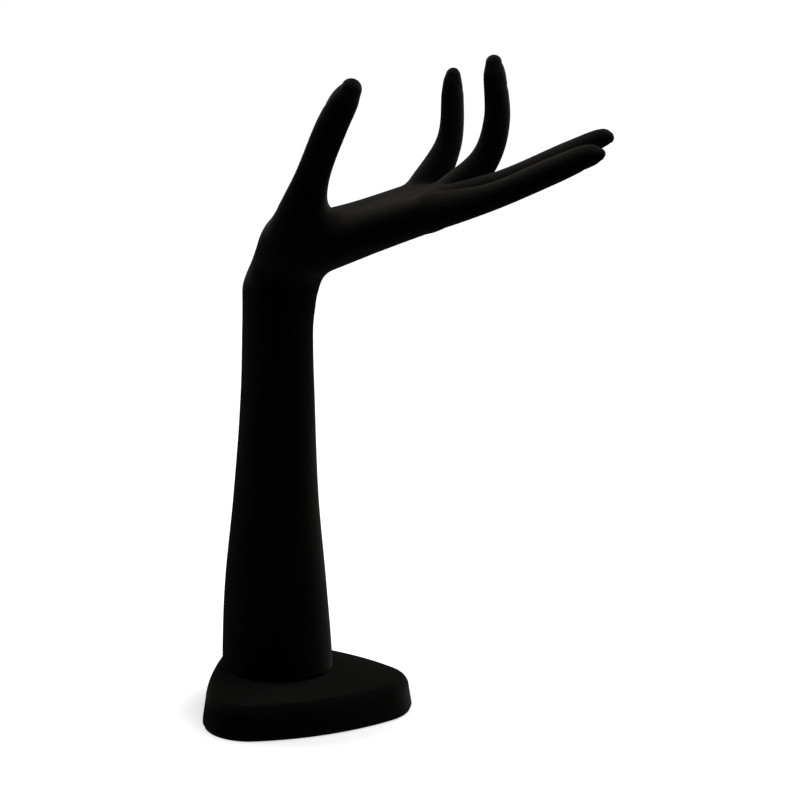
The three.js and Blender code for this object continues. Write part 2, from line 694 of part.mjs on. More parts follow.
// A wire's line: up out of the hollow forearm, over the wrist and along its digit.
function wireLine(entry, { joints }, order) {
  const across = (order - MIDDLE_WIRE) * WIRE_SPACING;
  const { x } = forearmSection(HOLLOW_TOP_Z);
  const start = new THREE.Vector3(x, across, HOLLOW_TOP_Z - WIRE_STEM);
  const roof = new THREE.Vector3(x, across, HOLLOW_TOP_Z + WIRE_STEM);
  const out = joints.slice(0, -2).map((place) => inHand(...place));
  const pad = inHand(...joints.at(-2));
  const end = pad.clone().addScaledVector(pad.clone().sub(out.at(-1)).normalize(), -WIRE_TIP_MARGIN);
  return new THREE.CatmullRomCurve3([start, roof, inHand(...entry), ...out, end]);
}

const WIRE_STEPS = 18;

// A round bar along a curve; a channel is the same bar, fatter and run on at both ends.
function wire(line, radius) {
  const section = new THREE.Shape(
    Array.from({ length: WIRE_SIDES }, (_, i) => {
      const angle = (2 * Math.PI * i) / WIRE_SIDES;
      return new THREE.Vector2(radius * Math.cos(angle), radius * Math.sin(angle));
    }),
  );
  return new THREE.ExtrudeGeometry(section, { steps: WIRE_STEPS, extrudePath: line, bevelEnabled: false });
}

const digits = { thumb: THUMB, ...FINGERS };
const wireLines = Object.fromEntries(
  Object.entries(digits).map(([name, digit], i) => [name, wireLine(WIRE_ENTRIES[name], digit, i)]),
);

function armCasting() {
  const outside = -COARSE_CELL; // wider than the skin all round
  const below = [forearmRing(DECK_TOP_Z, outside), forearmRing(DECK_TOP_Z, outside)];
  for (const p of below[0]) p.z -= 2 * FOOT_TRIM;
  let casting = solid(armSkin()).subtract(solid(loft(below))).subtract(solid(hollow()));
  for (const line of Object.values(wireLines))
    casting = casting.subtract(solid(wire(line, WIRE_RADIUS + FIT_GAP)));
  return geometryOf(casting);
}

// Materials

const flock = new THREE.MeshStandardMaterial({ color: 0x0b0b0c, roughness: 0.95, metalness: 0 });
const feltCloth = new THREE.MeshStandardMaterial({ color: 0x101011, roughness: 1, metalness: 0 });
const steel = new THREE.MeshStandardMaterial({ color: 0x8d9094, roughness: 0.4, metalness: 1 });
const zinc = new THREE.MeshStandardMaterial({ color: 0xb9bcbe, roughness: 0.35, metalness: 1 });
const beech = new THREE.MeshStandardMaterial({ color: 0xb58a5a, roughness: 0.7, metalness: 0 });
const hardboard = new THREE.MeshStandardMaterial({ color: 0x5b4029, roughness: 0.8, metalness: 0 });

// Assembly

const display = new THREE.Group();

function place(name, geometry, material, parent = display) {
  const mesh = new THREE.Mesh(geometry, material);
  mesh.name = name;
  parent.add(mesh);
  return mesh;
}

const arm = new THREE.Group();
place("arm_casting", armCasting(), flock, arm);
for (const [name, line] of Object.entries(wireLines))
  place(`${name}_wire`, wire(line, WIRE_RADIUS), steel, arm);
place("arm_plug", armPlug(), beech, arm);
place("tee_nut", teeNut(), zinc, arm);
display.add(arm);

const plinth = new THREE.Group();
place("plinth_shell", plinthShell(), flock, plinth);
place("ballast_plate", ballastPlate(), steel, plinth);
place("bottom_board", bottomBoard(), hardboard, plinth);
place("felt_pad", plinthPlate(FELT_INSET, 0, FELT_THICKNESS), feltCloth, plinth);
place("clamp_washer", clampWasher(), zinc, plinth);
place("clamp_bolt", clampBolt(), zinc, plinth);
place("locating_dowel_rear", locatingDowel(dowelPlaces[0]), beech, plinth);
place("locating_dowel_front", locatingDowel(dowelPlaces[1]), beech, plinth);
boardScrewPlaces.forEach(([x, y], i) => {
  const screw = place(`board_screw_${i + 1}`, turned(screwProfile(0)), zinc, plinth);
  screw.position.set(x, y, 0);
});
display.add(plinth);

export default display;
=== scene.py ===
"""Looks of a flocked hand display: an upright forearm and open hand on a rounded-triangle plinth.

The arm, the plinth and the felt get fine smooth skins in place of their faceted solids, and every
piece gets a procedural material. Shapes are worked out in millimetres and written in metres.
"""
import json
import math

import bmesh
import bpy
import numpy as np
from mathutils import Matrix, Vector


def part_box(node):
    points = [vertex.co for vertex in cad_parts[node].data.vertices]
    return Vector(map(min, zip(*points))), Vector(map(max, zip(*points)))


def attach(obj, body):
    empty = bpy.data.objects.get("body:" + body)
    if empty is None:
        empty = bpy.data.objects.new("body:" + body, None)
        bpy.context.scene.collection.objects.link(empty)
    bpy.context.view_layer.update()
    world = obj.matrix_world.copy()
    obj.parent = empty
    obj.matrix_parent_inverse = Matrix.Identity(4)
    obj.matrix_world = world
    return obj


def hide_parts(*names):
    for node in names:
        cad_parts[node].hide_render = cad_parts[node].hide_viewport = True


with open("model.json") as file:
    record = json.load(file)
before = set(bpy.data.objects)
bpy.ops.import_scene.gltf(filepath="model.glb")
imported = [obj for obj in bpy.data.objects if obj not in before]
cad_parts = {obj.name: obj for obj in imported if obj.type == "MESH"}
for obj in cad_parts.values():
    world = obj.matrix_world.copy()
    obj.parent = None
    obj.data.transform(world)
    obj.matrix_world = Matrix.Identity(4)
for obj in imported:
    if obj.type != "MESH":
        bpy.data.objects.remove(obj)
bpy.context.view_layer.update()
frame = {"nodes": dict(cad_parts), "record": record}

MM = 0.001

# The photograph's view
VIEW_AZIMUTH = 4  # degrees, camera moved to the right of square on
VIEW_ELEVATION = 15
VIEW_DISTANCE = 1.5
VIEW_TARGET = Vector((0.066, 0.0018, 0.1653))
VIEW_LENS = 130.3
SENSOR_WIDTH = 36

# Heights, from the frame
FELT_TOP_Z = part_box("felt_pad")[1][2] / MM
DECK_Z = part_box("plinth_shell")[1][2] / MM
BALLAST_TOP_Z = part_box("ballast_plate")[1][2] / MM
DECK_UNDER_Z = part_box("clamp_washer")[1][2] / MM

# Plinth outline: three corner arcs joined by three flatter arcs
PLINTH_REAR_REACH = 8.5  # from the forearm's axis back to the rear corners' centres
PLINTH_TIP_REACH = 47.5  # and forward to the tip corner's centre
PLINTH_HALF_SPREAD = 29  # from the plinth's centre line to each rear corner's centre
PLINTH_OFFSET = 10.5  # of that line from the forearm's axis, to the thumb's side
PLINTH_CORNER_RADIUS = 25.5
LONG_SIDE_RADIUS = 135
REAR_SIDE_RADIUS = 250

# Plinth edges, hollow and holes
TOP_EDGE_RADIUS = 6
FOOT_EDGE_RADIUS = 1
WALL_DRAFT = 1.5  # how far the wall leans in from foot to shoulder
RECESS_INSET = 3.95  # of the shell's hollow, from the outline
FELT_INSET = 0.9
FELT_EDGE_RADIUS = 0.3
BOSS_RADIUS = 4.6
BOSS_PAST_TIP = 8.5  # outward from the tip corner's centre
BOSS_PAST_REAR = 5.5  # back from each rear corner's centre
BOSS_PAST_SPREAD = 9  # and sideways from it
BOLT_HOLE_RADIUS = 3.3
DOWEL_HOLE_RADIUS = 2.8
DOWEL_REACH = 15  # from the forearm's axis to each dowel
THROUGH = 1  # how far a cutter runs past the face that it opens

# Forearm: [share of the length, centre x, half width along X, half width along Y]
FOREARM_LENGTH = 205
FOREARM_SECTIONS = np.array(
    [
        [0, 0.8, 29.4, 25.4],
        [0.22, 0.3, 27, 23.4],
        [0.46, 1, 22.4, 22.2],
        [0.71, 2.4, 19.4, 22.4],
        [0.9, 2.9, 18.3, 23.2],
        [1, 4.2, 19.2, 22.8],
    ]
)
FOREARM_TOP_Z = DECK_Z + FOREARM_LENGTH
WRIST_CAP_HEIGHT = 18
ARM_WALL = 5
HOLLOW_SHORTFALL = 33  # of the hollow's roof below the forearm's top
FOOT_ROUND = 1.2  # how far the flock turns in where the forearm meets the plinth
LEAST_SHARE = 0.05  # of the way out from a section's centre, to stay clear of dividing by zero

# Hand: its own frame runs along the palm, across it to the little finger, and up off it
WRIST_X = 5
WRIST_RISE = 14  # above the forearm's top
PALM_PITCH = math.radians(22.5)
PALM_YAW = math.radians(-8)
WRIST = Vector((WRIST_X, 0, FOREARM_TOP_Z + WRIST_RISE))
TURN = Matrix.Rotation(PALM_YAW, 4, "Z") @ Matrix.Rotation(-PALM_PITCH, 4, "Y")
HAND_FRAME = Matrix.Translation(WRIST) @ TURN
TO_HAND = np.array(HAND_FRAME.inverted())
ACROSS = np.array(HAND_FRAME.to_3x3() @ Vector((0, 1, 0)))
HAND_OVERLAP = 25  # how far below the forearm's top the hand's shapes are still felt

# Digits: joints [along, across, up] from the root out to the fingertip's pad and its rounded end,
# and the flesh radius at each
FINGERS = {
    "index": (
        [
            (88.7, -24, 0.7),
            (120, -22.5, -3),
            (155.5, -21, -1.7),
            (174.2, -20, -1.1),
            (179, -20, -2.3),
        ],
        [9.7, 6.9, 6.6, 5.5, 3.1],
    ),
    "middle": (
        [
            (92, -6, -0.3),
            (124.6, -3.5, -1.2),
            (160.3, -1.5, 0.5),
            (180, -0.5, 2.7),
            (182.5, -0.5, 1.7),
        ],
        [9.3, 7.1, 6.9, 4.4, 2.9],
    ),
    "ring": (
        [
            (88.7, 10.5, -0.9),
            (116.5, 15, 11.9),
            (129.4, 16.3, 28.2),
            (136.8, 15.5, 49.1),
            (138.9, 15.5, 55.4),
        ],
        [9.9, 7.5, 6.7, 5.7, 4.2],
    ),
    "little": (
        [(73.3, 24, 2.1), (98.8, 30, 25.2), (109.1, 32, 46.8), (111.7, 32, 53), (113.3, 32, 56)],
        [10.4, 6.7, 5.7, 4.7, 3.8],
    ),
}
THUMB = (
    [(18, -14, 12), (40.6, -27, 37.4), (61.1, -32, 57.7), (71.9, -32, 67.1), (78.1, -32, 71.9)],
    [14.6, 8.8, 8, 7.3, 5.4],
)
METACARPAL_START = (7.5, 0, 4.2)  # where the palm's rays leave the wrist
METACARPAL_START_SPREAD = 0.42  # of each knuckle's distance across
METACARPAL_START_RADIUS = 12
PALM_HOLLOW_CENTRE = (50, 3)  # along and across
PALM_HOLLOW_SPREAD = (24, 13)
PALM_HOLLOW_DEPTH = 3.5
PALM_BLEND = 14
WRIST_BLEND = 12
THUMB_BLEND = 13
FINGER_BLEND = 2
CROTCH_BLEND = 1.5
STATIONS_PER_BONE = 12
FAR = 1000  # a distance for points too far from a digit to matter
NEAR_MARGIN = 30  # from a digit's own line, within which a point does matter

# Fingernails, faint under the flock
NAIL_GROOVE_DEPTH = 0.25
NAIL_GROOVE_WIDTH = 0.16
NAIL_ROUNDNESS = 3
NAIL_HALF_WIDTH = 0.78  # these three are shares of the flesh radius at the fingertip's pad
NAIL_HALF_LENGTH = 1.05
NAIL_PAST_PAD = 0.12
NAIL_FADE = 0.4  # share of the half width, in height, over which a groove comes in
NAIL_REACH = 3  # in half lengths, past which there is no groove
THUMB_NAIL_TURN = math.radians(-152)

# Skin mesh
SKIN_CELL = 1.2
SKIN_MARGIN = 5  # of empty grid round the arm
SCOUT_STRIDE = 4  # skin cells to a side of the coarse grid that finds the surface
SCOUT_REACH = 1.3  # coarse cells from the surface within which distances are exact
GRID_PARTS = 12  # batches of points, worked out in turn to save memory
FOOT_TRIM = 6  # grown below the deck, then cut off flat
SETTLED_TRIM = 3  # of that, drawn on to the surface
SETTLE_STEPS = 3
SLOPE_STEP = 0.3  # to either side of a point, in measuring a gradient there
LEAST_STEEPNESS = 0.25  # keeps a step short where a distance is nearly flat
LEAST_SLOPE = 0.5  # and an outward direction in bounds there
HOLLOW_LEVELS = 12
SHARP_EDGE = math.radians(35)

# Steps round the shapes
STEPS_ON_SIDE = 28
STEPS_ON_CORNER = 26
STEPS_ON_EDGE = 8
FOREARM_SIDES = 72
BAR_SIDES = 40


# Smooth lines


def eased(positions, values, at):
    """Smooth values through listed ones, held level past both ends; at may be an array."""
    last = len(positions) - 1
    at = np.clip(at, positions[0], positions[last])
    i = np.clip(np.searchsorted(positions, at, side="left"), 1, last)
    p1, p2 = positions[i - 1], positions[i]
    v0, v1 = values[np.maximum(i - 2, 0)], values[i - 1]
    v2, v3 = values[i], values[np.minimum(i + 1, last)]
    t = (at - p1) / (p2 - p1)
    square = 2 * v0 - 5 * v1 + 4 * v2 - v3
    cube = 3 * (v1 - v2) + v3 - v0
    return v1 + ((v2 - v0) * t + square * t**2 + cube * t**3) / 2


def centripetal(points, t):
    """A point at share t of a centripetal Catmull-Rom line through points."""
    count = len(points)
    place = (count - 1) * t
    i = min(int(place), count - 2)
    w = place - i
    p1, p2 = points[i], points[i + 1]
    p0 = points[i - 1] if i else 2 * p1 - p2
    p3 = points[i + 2] if i + 2 < count else 2 * p2 - p1
    d0, d1, d2 = ((b - a).length ** 0.5 for a, b in ((p0, p1), (p1, p2), (p2, p3)))
    slope1 = ((p1 - p0) / d0 - (p2 - p0) / (d0 + d1) + (p2 - p1) / d1) * d1
    slope2 = ((p2 - p1) / d1 - (p3 - p1) / (d1 + d2) + (p3 - p2) / d2) * d1
    rise = p2 - p1
    square = 3 * rise - 2 * slope1 - slope2
    cube = slope1 + slope2 - 2 * rise
    return p1 + slope1 * w + square * w**2 + cube * w**3


# The arm as a distance to blended limbs


def in_hand(place):
    """A point of the hand's own frame in the part's frame."""
    return HAND_FRAME @ Vector(place)


def digit_chain(joints, radii):
    """A digit's flesh as [point, radius] stations along a smooth line through its joints."""
    points = [in_hand(j) for j in joints]
    bones = len(joints) - 1
    shares = np.linspace(0, 1, STATIONS_PER_BONE * bones + 1)
    sizes = eased(np.arange(bones + 1.0), np.array(radii, float), shares * bones)
    return [(np.array(centripetal(points, t)), r) for t, r in zip(shares, sizes)]


def metacarpal_chain(joints, radii):
    """A ray of the palm, from the wrist to a finger's root."""
    along, across, up = METACARPAL_START
    knuckle = joints[0]
    start = in_hand((along, across + knuckle[1] * METACARPAL_START_SPREAD, up))
    return [(np.array(start), METACARPAL_START_RADIUS), (np.array(in_hand(knuckle)), radii[0])]


def chain_distance(chain, p):
    """Signed distance from points to a chain of round cones, or FAR from well away."""
    centres = np.array([centre for centre, _ in chain])
    inside = (p > centres.min(0) - NEAR_MARGIN) & (p < centres.max(0) + NEAR_MARGIN)
    inside = inside.all(-1)
    q = p[inside]
    nearest = np.full(len(q), float(FAR))
    for (a, ra), (b, rb) in zip(chain, chain[1:]):
        axis = b - a
        t = np.clip((q - a) @ axis / (axis @ axis), 0, 1)
        gap = np.linalg.norm(q - a - t[:, None] * axis, axis=1)
        nearest = np.minimum(nearest, gap - ra - t * (rb - ra))
    distance = np.full(p.shape[:-1], float(FAR))
    distance[inside] = nearest
    return distance


def forearm_section(z):
    """The forearm's level ellipse at a height: its centre x and half widths."""
    share = (z - DECK_Z) / FOREARM_LENGTH
    return (eased(FOREARM_SECTIONS[:, 0], FOREARM_SECTIONS[:, k], share) for k in (1, 2, 3))


def forearm_distance(p):
    """Signed distance, near enough, to the forearm with its domed top."""
    x, a, b = forearm_section(p[..., 2])
    dx = p[..., 0] - x
    dz = np.maximum(p[..., 2] - FOREARM_TOP_Z, 0)
    ratio = np.sqrt((dx / a) ** 2 + (p[..., 1] / b) ** 2 + (dz / WRIST_CAP_HEIGHT) ** 2)
    ratio = np.maximum(ratio, LEAST_SHARE)
    reach = np.sqrt(dx**2 + p[..., 1] ** 2 + dz**2)
    return np.maximum(reach, LEAST_SHARE * ARM_WALL) * (1 - 1 / ratio)


def palm_hollow(p):
    """How far the palm's upper side is pressed in at points."""
    local = p @ TO_HAND[:3, :3].T + TO_HAND[:3, 3]
    along = (local[..., 0] - PALM_HOLLOW_CENTRE[0]) / PALM_HOLLOW_SPREAD[0]
    across = (local[..., 1] - PALM_HOLLOW_CENTRE[1]) / PALM_HOLLOW_SPREAD[1]
    upper = np.clip(local[..., 2] / METACARPAL_START_RADIUS, 0, 1)
    return PALM_HOLLOW_DEPTH * upper * np.exp(-(along**2) - across**2)


def blended(a, b, blend):
    """The lesser of two distances, rounded over where they are closer than the blend."""
    h = np.maximum(blend - np.abs(a - b), 0) / blend
    return np.minimum(a, b) - h * h * blend / 4


FINGER_CHAINS = [digit_chain(*digit) for digit in FINGERS.values()]
PALM_CHAINS = [metacarpal_chain(*digit) for digit in FINGERS.values()]
THUMB_CHAIN = digit_chain(*THUMB)


def hand_distance(p):
    """Signed distance to forearm, palm, thumb and fingers, grown into each other."""
    palm = np.full(p.shape[:-1], float(FAR))
    for chain in PALM_CHAINS:
        palm = blended(palm, chain_distance(chain, p), PALM_BLEND)
    body = blended(forearm_distance(p), palm, WRIST_BLEND)
    body = blended(body, chain_distance(THUMB_CHAIN, p), THUMB_BLEND) + palm_hollow(p)
    fingers = np.full(p.shape[:-1], float(FAR))
    for chain in FINGER_CHAINS:
        fingers = blended(fingers, chain_distance(chain, p), CROTCH_BLEND)
    return blended(body, fingers, FINGER_BLEND)


def arm_distance(p):
    """Signed distance to the whole arm."""
    distance = forearm_distance(p)
    near_hand = p[..., 2] > FOREARM_TOP_Z - HAND_OVERLAP
    distance[near_hand] = hand_distance(p[near_hand])
    return distance


# Skin


def surface_net(values, low, cell):
    """Vertices and quads of the skin where a grid of distances is below zero."""
    inside = values < 0
    cells = tuple(n - 1 for n in values.shape)
    size = int(np.prod(cells))
    total = np.zeros((size, 3))
    count = np.zeros(size)
    quads = []
    for axis in range(3):
        first = [slice(None)] * 3
        second = [slice(None)] * 3
        first[axis] = slice(0, -1)
        second[axis] = slice(1, None)
        crossing = inside[tuple(first)] != inside[tuple(second)]
        edges = np.argwhere(crossing)
        a, b = values[tuple(first)][crossing], values[tuple(second)][crossing]
        places = edges.astype(float)
        places[:, axis] += a / (a - b)
        u, v = (axis + 1) % 3, (axis + 2) % 3
        corners = []
        for du, dv in ((1, 1), (0, 1), (0, 0), (1, 0)):
            cell_of = edges.copy()
            cell_of[:, u] -= du
            cell_of[:, v] -= dv
            flat = np.ravel_multi_index(cell_of.T, cells)
            corners.append(flat)
            count += np.bincount(flat, minlength=size)
            for k in range(3):
                total[:, k] += np.bincount(flat, places[:, k], size)
        ring = np.stack(corners, 1)
        ring[a > 0] = ring[a > 0][:, ::-1]
        quads.append(ring)
    used = np.flatnonzero(count)
    number = np.full(size, -1)
    number[used] = np.arange(len(used))
    vertices = total[used] / count[used][:, None] * cell + low
    return vertices, number[np.concatenate(quads)]


def slope_of(distance, points):
    """The gradient of a distance at points."""
    offsets = np.eye(3) * SLOPE_STEP
    rises = [distance(points + d) - distance(points - d) for d in offsets]
    return np.stack(rises, 1) / (2 * SLOPE_STEP)


def settled(distance, points, reach):
    """Points drawn on to where a distance is zero, none moving further than reach."""
    start = points.copy()
    for _ in range(SETTLE_STEPS):
        slope = slope_of(distance, points)
        steepness = np.maximum((slope**2).sum(1), LEAST_STEEPNESS)
        points = points - (distance(points) / steepness)[:, None] * slope
        points = np.clip(points, start - reach, start + reach)
    return points


def grid_values(distance, low, counts, cell):
    """A distance on a grid, worked out exactly near zero only."""
    stride = SCOUT_STRIDE
    scouts = [np.arange(-(-n // stride) + 1) * stride * cell + a for n, a in zip(counts, low)]
    values = distance(np.stack(np.meshgrid(*scouts, indexing="ij"), -1))
    for axis, n in enumerate(counts):
        nearest = (np.arange(n) + stride // 2) // stride
        values = np.take(values, nearest, axis)
    near = np.argwhere(np.abs(values) < SCOUT_REACH * stride * cell)
    parts = np.array_split(near, GRID_PARTS)
    values[tuple(near.T)] = np.concatenate([distance(part * cell + low) for part in parts])
    return values


def mesh_object(name, vertices, faces):
    """An object in metres from vertices in millimetres."""
    mesh = bpy.data.meshes.new(name)
    places = (np.asarray(vertices, float) * MM).tolist()
    mesh.from_pydata(places, [], [list(map(int, f)) for f in faces])
    mesh.update()
    piece = bpy.data.objects.new(name, mesh)
    bpy.context.scene.collection.objects.link(piece)
    return piece


def cut(piece, other):
    """Cuts one closed piece with another, which is used up."""
    modifier = piece.modifiers.new("cut", "BOOLEAN")
    modifier.operation = "DIFFERENCE"
    modifier.solver = "EXACT"
    modifier.object = other
    evaluated = piece.evaluated_get(bpy.context.evaluated_depsgraph_get())
    made = bpy.data.meshes.new_from_object(evaluated)
    piece.modifiers.clear()
    piece.data = made
    bpy.data.objects.remove(other)


def loft(name, rings):
    """Rings of points, lowest first, skinned into a closed piece with flat ends."""
    sides = len(rings[0])
    faces = [list(range(sides))[::-1]]
    for r in range(len(rings) - 1):
        for i in range(sides):
            a, b = r * sides + i, r * sides + (i + 1) % sides
            faces.append([a, b, b + sides, a + sides])
    faces.append([(len(rings) - 1) * sides + i for i in range(sides)])
    return mesh_object(name, np.concatenate(rings), faces)


def bar(name, radius, z0, z1, x, y):
    """A round upright bar from z0 to z1."""
    angles = np.linspace(0, 2 * np.pi, BAR_SIDES, endpoint=False)
    ring = np.stack((x + radius * np.cos(angles), y + radius * np.sin(angles)), 1)
    return loft(name, [np.column_stack((ring, np.full(BAR_SIDES, z))) for z in (z0, z1)])


def forearm_ring(z, level, inset):
    """The forearm's section at height z, moved in by a distance and set at a level."""
    x, a, b = (float(v) for v in forearm_section(np.array(z)))
    angles = np.linspace(0, 2 * np.pi, FOREARM_SIDES, endpoint=False)
    across = x + (a - inset) * np.cos(angles)
    return np.stack((across, (b - inset) * np.sin(angles), np.full(FOREARM_SIDES, level)), 1)


# Fingernails


def nail(joints, radii, turned):
    """A nail's centre, its directions along, across and out, and its half width and length."""
    bone, pad = (np.array(in_hand(joints[k])) for k in (-3, -2))
    along = (pad - bone) / np.linalg.norm(pad - bone)
    out = np.cross(ACROSS, along) * math.cos(turned) - ACROSS * math.sin(turned)
    out /= np.linalg.norm(out)
    half_width = radii[-2] * NAIL_HALF_WIDTH
    half_length = radii[-2] * NAIL_HALF_LENGTH
    centre = pad + along * (NAIL_PAST_PAD * radii[-2])
    return centre, along, np.cross(along, out), out, half_width, half_length


NAILS = [nail(*digit, 0) for digit in FINGERS.values()]
NAILS.append(nail(*THUMB, THUMB_NAIL_TURN))


def nail_grooves(points):
    """How far points are pressed in round the fingernails."""
    depth = np.zeros(len(points))
    for centre, along, side, out, half_width, half_length in NAILS:
        rel = points - centre
        u, v = rel @ along / half_length, rel @ side / half_width
        edge = (np.abs(u) ** NAIL_ROUNDNESS + np.abs(v) ** NAIL_ROUNDNESS) ** (1 / NAIL_ROUNDNESS)
        facing = np.clip(rel @ out / (NAIL_FADE * half_width), 0, 1)
        near = np.linalg.norm(rel, axis=1) < NAIL_REACH * half_length
        groove = np.exp(-(((edge - 1) / NAIL_GROOVE_WIDTH) ** 2))
        depth = np.maximum(depth, near * facing * groove * NAIL_GROOVE_DEPTH)
    return depth


# Arm


def cut_flat(piece, z):
    """Cuts away what lies below a level and closes the cut with one face."""
    shape = bmesh.new()
    shape.from_mesh(piece.data)
    everything = [*shape.verts, *shape.edges, *shape.faces]
    bmesh.ops.bisect_plane(
        shape, geom=everything, plane_co=(0, 0, z * MM), plane_no=(0, 0, 1), clear_inner=True
    )
    bmesh.ops.contextual_create(shape, geom=[e for e in shape.edges if e.is_boundary])
    shape.to_mesh(piece.data)
    shape.free()


def arm_skin():
    """The arm's smooth flocked skin, flat at its foot and hollow up the forearm."""
    low, high = (np.array(c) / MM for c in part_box("arm_casting"))
    low = low - SKIN_MARGIN
    low[2] = DECK_Z - FOOT_TRIM
    counts = np.ceil((high + SKIN_MARGIN - low) / SKIN_CELL).astype(int) + 1
    values = grid_values(arm_distance, low, counts, SKIN_CELL)
    values[..., 0] = np.abs(values[..., 0])
    vertices, quads = surface_net(values, low, SKIN_CELL)
    upright = vertices[:, 2] > DECK_Z - SETTLED_TRIM
    vertices[upright] = settled(arm_distance, vertices[upright], SKIN_CELL)
    slope = slope_of(arm_distance, vertices)
    slope /= np.maximum(np.linalg.norm(slope, axis=1), LEAST_SLOPE)[:, None]
    vertices -= nail_grooves(vertices)[:, None] * slope
    turn = np.clip(1 - (vertices[:, 2] - DECK_Z) / FOOT_ROUND, 0, 1)
    vertices -= (FOOT_ROUND * (1 - np.sqrt(1 - turn**2)))[:, None] * slope * (1, 1, 0)
    piece = mesh_object("arm_skin", vertices, quads)
    cut_flat(piece, DECK_Z)
    levels = np.linspace(DECK_Z, FOREARM_TOP_Z - HOLLOW_SHORTFALL, HOLLOW_LEVELS)
    rings = [forearm_ring(DECK_Z, DECK_Z - THROUGH, ARM_WALL)]
    rings += [forearm_ring(z, z, ARM_WALL) for z in levels]
    cut(piece, loft("hollow", rings))
    return piece


# Plinth


def side_arc(from_centre, to_centre, radius):
    """The centre of an arc that runs inside two corner arcs, tangent to both."""
    reach = radius - PLINTH_CORNER_RADIUS
    across = to_centre - from_centre
    span = np.linalg.norm(across)
    inward = np.array((-across[1], across[0])) / span
    return (from_centre + to_centre) / 2 + inward * math.sqrt(reach**2 - span**2 / 4)


def plinth_arcs():
    """The outline's arcs, anticlockwise: centre, radius and the outward angle at the start."""
    corners = [
        np.array((x, y - PLINTH_OFFSET))
        for x, y in (
            (PLINTH_TIP_REACH, 0),
            (-PLINTH_REAR_REACH, PLINTH_HALF_SPREAD),
            (-PLINTH_REAR_REACH, -PLINTH_HALF_SPREAD),
        )
    ]
    arcs = []
    for i, radius in enumerate((LONG_SIDE_RADIUS, REAR_SIDE_RADIUS, LONG_SIDE_RADIUS)):
        leaving, reached = corners[i], corners[(i + 1) % len(corners)]
        centre = side_arc(leaving, reached, radius)
        arcs.append((centre, radius, math.atan2(*(leaving - centre)[::-1])))
        arcs.append((reached, PLINTH_CORNER_RADIUS, math.atan2(*(reached - centre)[::-1])))
    return arcs


PLINTH_ARCS = plinth_arcs()


def plinth_ring(inset, z):
    """The outline moved in by a distance, at a height."""
    points = []
    for i, (centre, radius, start) in enumerate(PLINTH_ARCS):
        steps = STEPS_ON_CORNER if i % 2 else STEPS_ON_SIDE
        turn = (PLINTH_ARCS[(i + 1) % len(PLINTH_ARCS)][2] - start) % (2 * math.pi)
        reach = radius - inset
        for s in range(steps):
            angle = start + turn * s / steps
            x, y = centre[0] + reach * math.cos(angle), centre[1] + reach * math.sin(angle)
            points.append((x, y, z))
    return np.array(points)


def rounded_edge(inset, radius, z, rises):
    """Rings that round an edge over between an upright wall and a level face."""
    rings = []
    for turn in np.linspace(0, math.pi / 2, STEPS_ON_EDGE + 1):
        turn = turn if rises else math.pi / 2 - turn
        lift = radius * math.sin(turn)
        height = z + (lift if rises else -lift)
        rings.append(plinth_ring(inset + radius * (1 - math.cos(turn)), height))
    return rings


def plinth_skin():
    """The plinth's smooth flocked shell, with its recess, bosses and holes."""
    rings = rounded_edge(0, FOOT_EDGE_RADIUS, FELT_TOP_Z + FOOT_EDGE_RADIUS, False)
    rings += rounded_edge(WALL_DRAFT, TOP_EDGE_RADIUS, DECK_Z - TOP_EDGE_RADIUS, True)
    piece = loft("plinth_skin", rings)
    heights = (FELT_TOP_Z - THROUGH, DECK_UNDER_Z)
    recess = loft("recess", [plinth_ring(RECESS_INSET, z) for z in heights])
    rear_x = -PLINTH_REAR_REACH - BOSS_PAST_REAR
    spread = PLINTH_HALF_SPREAD + BOSS_PAST_SPREAD
    for x, y in ((PLINTH_TIP_REACH + BOSS_PAST_TIP, 0), (rear_x, spread), (rear_x, -spread)):
        cut(recess, bar("boss", BOSS_RADIUS, BALLAST_TOP_Z, DECK_Z, x, y - PLINTH_OFFSET))
    cut(piece, recess)
    under, over = DECK_UNDER_Z - THROUGH, DECK_Z + THROUGH
    cut(piece, bar("hole", BOLT_HOLE_RADIUS, under, over, 0, 0))
    for x in (-DOWEL_REACH, DOWEL_REACH):
        cut(piece, bar("hole", DOWEL_HOLE_RADIUS, under, over, x, 0))
    return piece


def felt_sheet():
    """The felt glued under the plinth, cut to its outline."""
    edge = FELT_EDGE_RADIUS
    rings = [
        plinth_ring(FELT_INSET + edge, 0),
        plinth_ring(FELT_INSET, edge),
        plinth_ring(FELT_INSET, FELT_TOP_Z - edge),
        plinth_ring(FELT_INSET + edge, FELT_TOP_Z),
    ]
    return loft("felt_sheet", rings)


def smooth_by_angle(piece):
    """Smooth shading but for sharp edges."""
    shape = bmesh.new()
    shape.from_mesh(piece.data)
    for edge in shape.edges:
        edge.smooth = edge.is_manifold and edge.calc_face_angle() < SHARP_EDGE
    for face in shape.faces:
        face.smooth = True
    shape.to_mesh(piece.data)
    shape.free()


skin = arm_skin()
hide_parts("arm_casting")
plinth = plinth_skin()
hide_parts("plinth_shell")
felt = felt_sheet()
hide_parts("felt_pad")
new_pieces = ((skin, "black_flock"), (plinth, "black_flock"), (felt, "black_felt"))
for piece, finish in new_pieces:
    smooth_by_angle(piece)
    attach(piece, "root")


# Materials


